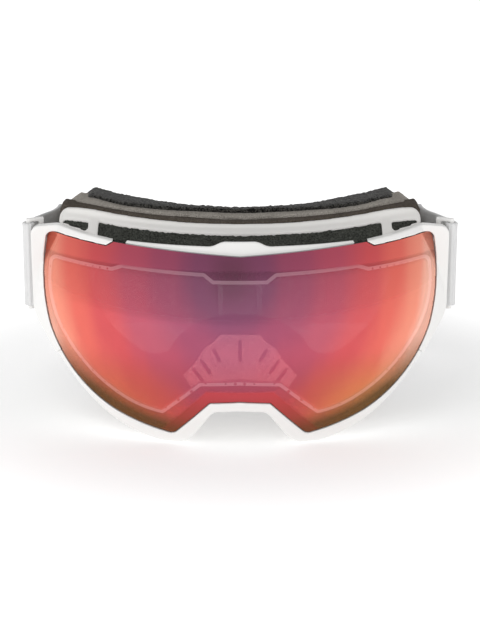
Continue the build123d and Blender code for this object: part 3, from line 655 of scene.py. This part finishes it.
def ribbon(name, path, mirrored):
    """Webbing along a path in plan, its width upright; u runs along it and v round its section."""
    shape = section(STRAP_WIDTH, STRAP_THICK)
    side = -1 if mirrored else 1
    rings = [ring_at(path, i, shape, side) for i in range(len(path))]
    lengths = [0.0]
    for a, b in zip(path, path[1:]):
        lengths.append(lengths[-1] + math.dist(a, b) * MM)
    rounds = [0.0]
    for a, b in zip(shape, shape[1:] + shape[:1]):
        rounds.append(rounds[-1] + math.dist(a, b) * MM)
    mesh = bmesh.new()
    uv = mesh.loops.layers.uv.new("UVMap")
    loops = [[mesh.verts.new(p) for p in ring] for ring in rings]
    count = len(shape)
    for i in range(len(loops) - 1):
        for k in range(count):
            n = (k + 1) % count
            corners = [(i, k, k), (i + 1, k, k), (i + 1, n, k + 1), (i, n, k + 1)]
            if mirrored:
                corners.reverse()
            face = mesh.faces.new([loops[a][b] for a, b, _ in corners])
            for loop, (a, _, r) in zip(face.loops, corners):
                loop[uv].uv = (lengths[a], rounds[r])
            face.smooth = True
    for ring in (loops[0], loops[-1]):
        mesh.faces.new(ring)
    bmesh.ops.recalc_face_normals(mesh, faces=mesh.faces)
    data = bpy.data.meshes.new(name)
    mesh.to_mesh(data)
    mesh.free()
    return new_object(name, data)


def front_path():
    """From the fold's inner end, round the outrigger's bar and back along the side."""
    turn = arc_points(BAR, FOLD_RADIUS, 180, 360, FOLD_TURN)
    outer = eased(turn[-1], (0.0, 8.0), CORNER, (-4.2, 9.0), 12)
    side = eased(CORNER, (-8.4, 18.0), (STRAP_X, STRAIGHT_Y), (0.0, 20.0), 14)
    run = straight((STRAP_X, STRAIGHT_Y), (STRAP_X, JOIN_Y), 20)
    return FOLD_INSIDE + turn + outer[1:] + side[1:] + run[1:]


def rear_path():
    """From mid side, round the bend, along the back, round the buckle's bar and back on itself."""
    centre = (STRAP_X - STRAP_BEND, STRAP_BACK_Y - STRAP_BEND)
    side = straight((STRAP_X, JOIN_Y), (STRAP_X, centre[1]), 18)
    bend = arc_points(centre, STRAP_BEND, 0, 90, 24)
    back = straight((centre[0], STRAP_BACK_Y), (REAR_BAR_X, STRAP_BACK_Y), 20)
    turn = arc_points((REAR_BAR_X, STRAP_BACK_Y - REAR_LAYER / 2), REAR_LAYER / 2, 90, 270, 12)
    inner_y = STRAP_BACK_Y - REAR_LAYER
    tail = straight((REAR_BAR_X, inner_y), (REAR_END_X, inner_y), 16)
    return side + bend[1:] + back[1:] + turn[1:] + tail[1:]


STITCH_LENGTH = 1.7
STITCH_RADIUS = 0.24
STITCH_STEP = 2.3
STITCH_MARGINS = (1.6, 2.6)  # from the strap's lower and upper edges
STITCH_LIFT = 0.05           # above the strap's face
STITCH_ROWS_Y = (61.6, 63.6)


def capsule(mesh, start, end, radius):
    """A short thread with rounded ends."""
    way = end - start
    turn = way.normalized().to_track_quat("Z", "Y").to_matrix().to_4x4()
    stretch = Matrix.Diagonal((1, 1, way.length / (2 * radius * MM), 1))
    place = Matrix.Translation((start + end) / 2) @ turn @ stretch
    bmesh.ops.create_uvsphere(mesh, u_segments=8, v_segments=6, radius=radius * MM, matrix=place)


def stitch_rows(side, rows):
    """Rows of stitches down the strap's outer face where its fold is sewn; rows are x and y of each."""
    mesh = bmesh.new()
    for x, y in rows:
        up = STRAP_LOW_Z + STITCH_MARGINS[0]
        while up < STRAP_LOW_Z + STRAP_WIDTH - STITCH_MARGINS[1]:
            top = at(side * x, y, up + STITCH_LENGTH)
            capsule(mesh, at(side * x, y, up), top, STITCH_RADIUS)
            up += STITCH_STEP
    data = bpy.data.meshes.new("stitches")
    mesh.to_mesh(data)
    mesh.free()
    data.shade_smooth()
    return new_object("stitches_left" if side < 0 else "stitches_right", data)


def skin(piece, slot, material, *nodes):
    """A finished strap piece: its material and any nodes it stands for, but not its body; the slot is not
    used.
    """
    piece.data.materials.clear()
    piece.data.materials.append(material)
    if nodes:
        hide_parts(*nodes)


def outer_face(y):
    """x of the strap's outer face at y, behind the bar."""
    outside = front_path()[len(FOLD_INSIDE) + FOLD_TURN:]
    for a, b in zip(outside, outside[1:]):
        if a[1] <= y <= b[1]:
            middle = a[0] + (b[0] - a[0]) * (y - a[1]) / (b[1] - a[1])
            return middle + STRAP_THICK / 2 + STITCH_LIFT
    raise ValueError("the strap doesn't pass this y")


# ---- Build -------------------------------------------------------------------------------------

add_camera()
add_world()
add_floor()
bpy.context.scene.view_settings.view_transform = "Standard"
add_key_light()

WHITE_SOFT = white_plastic("frame_white", rgb(238, 236, 233), 0.45, 0.1)
WHITE_HARD = white_plastic("rim_white", rgb(247, 246, 244), 0.30, 0.3)
FAN = white_plastic("nose_fan", rgb(206, 176, 176), 0.4, 0.2)
glow(FAN, rgb(255, 176, 176), 3.4, front_only=True)

# The moulded pieces: voxel size, rounds of smoothing and material of each
MOULDED = {
    "face_frame": (0.62, 5, WHITE_SOFT),
    "nose_bridge": (0.35, 4, FAN),
    "lower_rim": (0.4, 5, WHITE_HARD),
    "side_cap_left": (0.35, 5, WHITE_HARD),
    "side_cap_right": (0.35, 5, WHITE_HARD),
    "lens_trim": (0.3, 2, WHITE_HARD),
    "outrigger_left": (0.3, 3, WHITE_HARD),
    "outrigger_right": (0.3, 3, WHITE_HARD),
    "slider_left": (0.35, 3, WHITE_HARD),
    "slider_right": (0.35, 3, WHITE_HARD),
    "buckle_socket": (0.35, 3, WHITE_HARD),
    "buckle_clip": (0.35, 3, WHITE_HARD),
}
SLOT_OF = {row["node"]: row["material_slot"] for row in frame["record"]["subparts"]}
BODY_OF = {node: body for body, nodes in frame["record"]["behaviour"]["bodies"].items() for node in nodes}

for node, (voxel, smooth, material) in MOULDED.items():
    settle(moulded(node, voxel, smooth), BODY_OF[node], SLOT_OF[node], material, node)

# Lumps of the foams: size and depth in mm, and where their noise starts
VENT_LUMPS = (1.1, 0.5, 3.1)
LAYER_LUMPS = (14.0, 0.3, 7.7)
FOAM_CELLS = (1.2, 0.15, 1.9)
FLEECE_PILE = (1.2, 0.4, 1.9)

BLACK_FOAM = foam("vent_foam", rgb(10, 10, 9), rgb(92, 94, 88), 1100.0, 0.0007)
for node in ("vent_foam_top", "vent_foam_side", "vent_foam_bottom"):
    piece = roughen(moulded(node, 0.5, 2), *VENT_LUMPS)
    settle(piece, "frame", SLOT_OF[node], BLACK_FOAM, node)

# The face foam's layers: material and voxel size of each
SOFT = {
    "foam_base": (foam("foam_dark", rgb(56, 50, 44), rgb(108, 100, 92), 1900.0, 0.0004), 0.7),
    "foam_mid": (foam("foam_grey", rgb(112, 106, 98), rgb(196, 190, 182), 1900.0, 0.0004), 0.7),
    "face_fleece": (fleece_cloth(), 0.6),
}
for node, (material, voxel) in SOFT.items():
    piece = roughen(moulded(node, voxel, 5), *LAYER_LUMPS)
    roughen(piece, *(FLEECE_PILE if node == "face_fleece" else FOAM_CELLS))
    if node in LIPS:
        turn_lip(piece, *LIPS[node])
    settle(piece, "frame", SLOT_OF[node], material, node)

STRAP = webbing()
THREAD = thread()
for side, sign in (("left", -1), ("right", 1)):
    front = ribbon(f"strap_{side}_front", front_path(), sign < 0)
    skin(front, "strap", STRAP, f"strap_{side}_loop", f"strap_{side}_side")
    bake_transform(front)
    stitches = stitch_rows(sign, [(outer_face(y), y) for y in STITCH_ROWS_Y])
    skin(stitches, "strap", THREAD)
    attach(stitches, f"outrigger_{side}")
    rear = ribbon(f"strap_{side}_back", rear_path(), sign < 0)
    skin(rear, "strap", STRAP, f"strap_{side}_rear")
    if side == "right":
        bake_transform(rear)
    else:
        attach(rear, "frame")

paint(lens_mirror(), "outer_lens")
paint(clear_pane(), "inner_lens")
paint(white_plastic("carrier", rgb(70, 58, 62), 0.5, 0.0), "lens_carrier")
GASKET = foam("gasket", rgb(214, 208, 210), rgb(240, 238, 240), 2600.0, 0.0001)
glow(GASKET, rgb(255, 214, 220), 0.36)
paint(GASKET, "lens_spacer")
paint(steel(), "lens_magnets", "frame_magnets", "pivot_pin_left", "pivot_pin_right")
paint(white_plastic("silicone", rgb(214, 216, 218), 0.3, 0.5), "grip_left", "grip_right")
